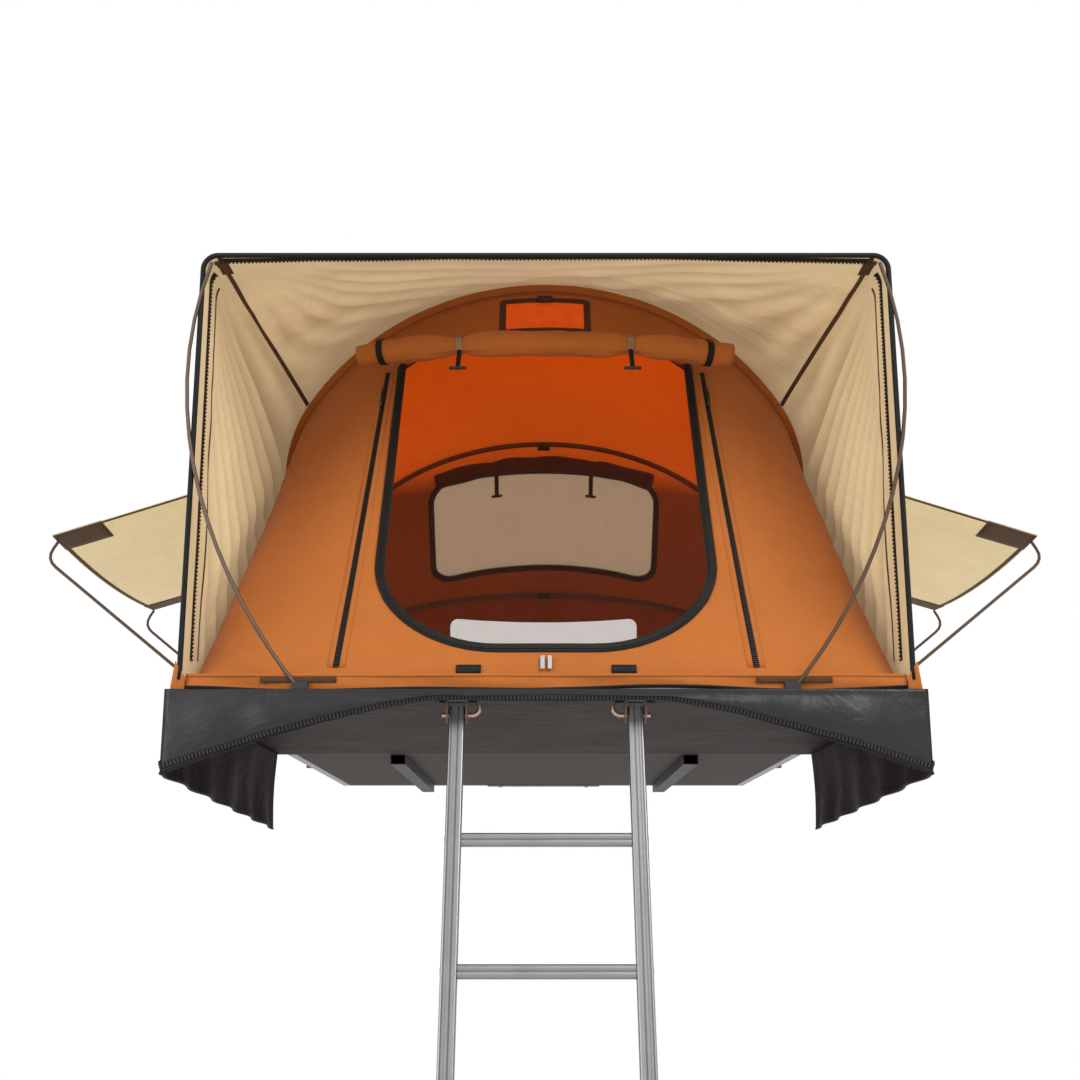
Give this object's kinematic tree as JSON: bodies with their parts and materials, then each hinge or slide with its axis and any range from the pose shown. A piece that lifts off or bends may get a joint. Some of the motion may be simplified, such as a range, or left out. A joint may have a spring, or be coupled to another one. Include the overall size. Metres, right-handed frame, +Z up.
{
  "type": "roof top tent",
  "caption": "Soft-shell fold-out roof top tent on a hinged base, with fanned hoops, rainfly, rod-held awnings, travel cover and sliding ladder.",
  "frame": {"origin": "centre of the roof bar bolt pattern, on the underside of the mounting channels", "axes": "+Z up, -Y towards the fold-out half and the ladder, +X to the right seen from the ladder"},
  "size_m": [2.4602, 3.0043, 3.3649],
  "materials": {
    "board": "dark textured sheet",
    "edge_aluminium": "extruded, satin",
    "ladder_aluminium": "extruded, satin",
    "steel": "zinc plated",
    "pin_steel": "copper-tinted plating",
    "hoop_tube": "dull tube",
    "black_plastic": "moulded",
    "rubber": "matt",
    "foam": "covered foam",
    "canvas": "ripstop canvas",
    "mesh": "fine mesh",
    "fly": "coated polyester",
    "webbing": "black binding",
    "pvc": "coated cover cloth",
    "rod_steel": "spring rod"
  },
  "bodies": {
    "rear_base": {"rear_panel": "board", "rear_frame": "edge_aluminium", "roof_channels": "edge_aluminium", "rear_hinge_plates": "steel", "fold_pins": "steel", "rear_mattress": "foam", "rear_ladder_strip": "edge_aluminium", "rear_side_rods": "rod_steel", "rear_rod_sockets": "black_plastic", "low_canvas": "canvas"},
    "low_bow": {"low_hoop": "hoop_tube", "low_hoop_clip": "black_plastic"},
    "rear_bow": {"rear_hoop": "hoop_tube", "rear_hoop_clip": "black_plastic", "rear_canvas": "canvas", "rear_window_mesh": "mesh", "rear_fly": "fly"},
    "centre_bow": {"centre_hoop": "hoop_tube", "centre_hoop_clip": "black_plastic", "back_roof_canvas": "canvas", "back_roof_fly": "fly", "left_awning": "fly", "right_awning": "fly"},
    "front_bow": {"front_hoop": "hoop_tube", "front_hoop_clip": "black_plastic", "front_roof_canvas": "canvas", "front_roof_fly": "fly", "front_awning": "fly"},
    "front_base": {"front_panel": "board", "front_frame": "edge_aluminium", "front_hinge_plates": "steel", "front_mattress": "foam", "travel_cover": "pvc", "front_rods": "rod_steel", "front_side_rods": "rod_steel", "front_rod_sockets": "black_plastic", "ladder_brackets": "steel", "front_wall": "canvas", "vent_window": "mesh", "door_binding": "webbing", "door_roll": "canvas", "roll_toggles": "webbing", "door_zips": "webbing", "hook_tabs": "webbing", "front_valance": "canvas"},
    "upper_ladder": {"upper_rails": "ladder_aluminium", "upper_rungs": "ladder_aluminium", "ladder_guides": "black_plastic"},
    "lower_ladder": {"lower_rails": "ladder_aluminium", "lower_rungs": "ladder_aluminium", "ladder_feet": "rubber"},
    "left_pin": {"left_ladder_pin": "pin_steel"},
    "right_pin": {"right_ladder_pin": "pin_steel"},
    "left_pull": {"left_zip_pull": "steel"},
    "right_pull": {"right_zip_pull": "steel"}
  },
  "joints": [
    {"name": "low_fold", "type": "hinge", "parent": "rear_base", "child": "low_bow", "pos_m": [0, -0.6, 0.163], "axis": [-1, 0, 0], "range_deg": [0, 28.5]},
    {"name": "rear_fold", "type": "hinge", "parent": "low_bow", "child": "rear_bow", "pos_m": [0, -0.6, 0.163], "axis": [-1, 0, 0], "range_deg": [0, 29]},
    {"name": "centre_fold", "type": "hinge", "parent": "rear_bow", "child": "centre_bow", "pos_m": [0, -0.6, 0.163], "axis": [-1, 0, 0], "range_deg": [0, 32]},
    {"name": "front_fold", "type": "hinge", "parent": "centre_bow", "child": "front_bow", "pos_m": [0, -0.6, 0.163], "axis": [-1, 0, 0], "range_deg": [0, 32]},
    {"name": "base_fold", "type": "hinge", "parent": "front_bow", "child": "front_base", "pos_m": [0, -0.6, 0.163], "axis": [-1, 0, 0], "range_deg": [0, 58.5], "deforming": ["low_canvas", "rear_canvas", "rear_window_mesh", "back_roof_canvas", "front_roof_canvas", "front_wall", "vent_window", "door_binding", "door_roll", "roll_toggles", "door_zips", "hook_tabs", "front_valance", "rear_fly", "back_roof_fly", "front_roof_fly", "front_awning", "left_awning", "right_awning", "travel_cover", "front_rods", "front_side_rods", "rear_side_rods"]},
    {"name": "ladder_swing", "type": "hinge", "parent": "front_base", "child": "upper_ladder", "pos_m": [0, -1.76, -0.009], "axis": [1, 0, 0], "range_deg": [-50, 30]},
    {"name": "ladder_slide", "type": "slide", "parent": "upper_ladder", "child": "lower_ladder", "axis": [0, 0.3057, 0.9521], "range_m": [0, 0.72]},
    {"name": "left_pin_pull", "type": "slide", "parent": "front_base", "child": "left_pin", "axis": [1, 0, 0], "range_m": [0, 0.06]},
    {"name": "right_pin_pull", "type": "slide", "parent": "front_base", "child": "right_pin", "axis": [-1, 0, 0], "range_m": [0, 0.06]},
    {"name": "left_pull_swing", "type": "hinge", "parent": "front_base", "child": "left_pull", "pos_m": [0, -1.76766, 0.10374], "axis": [-1, 0, 0], "range_deg": [0, 120]},
    {"name": "right_pull_swing", "type": "hinge", "parent": "front_base", "child": "right_pull", "pos_m": [0, -1.76766, 0.10374], "axis": [-1, 0, 0], "range_deg": [0, 120]}
  ],
  "couplings": [
    {"joint": "low_fold", "follows": "base_fold", "ratio": 0.48718},
    {"joint": "rear_fold", "follows": "base_fold", "ratio": 0.49573},
    {"joint": "centre_fold", "follows": "base_fold", "ratio": 0.54701},
    {"joint": "front_fold", "follows": "base_fold", "ratio": 0.54701}
  ]
}
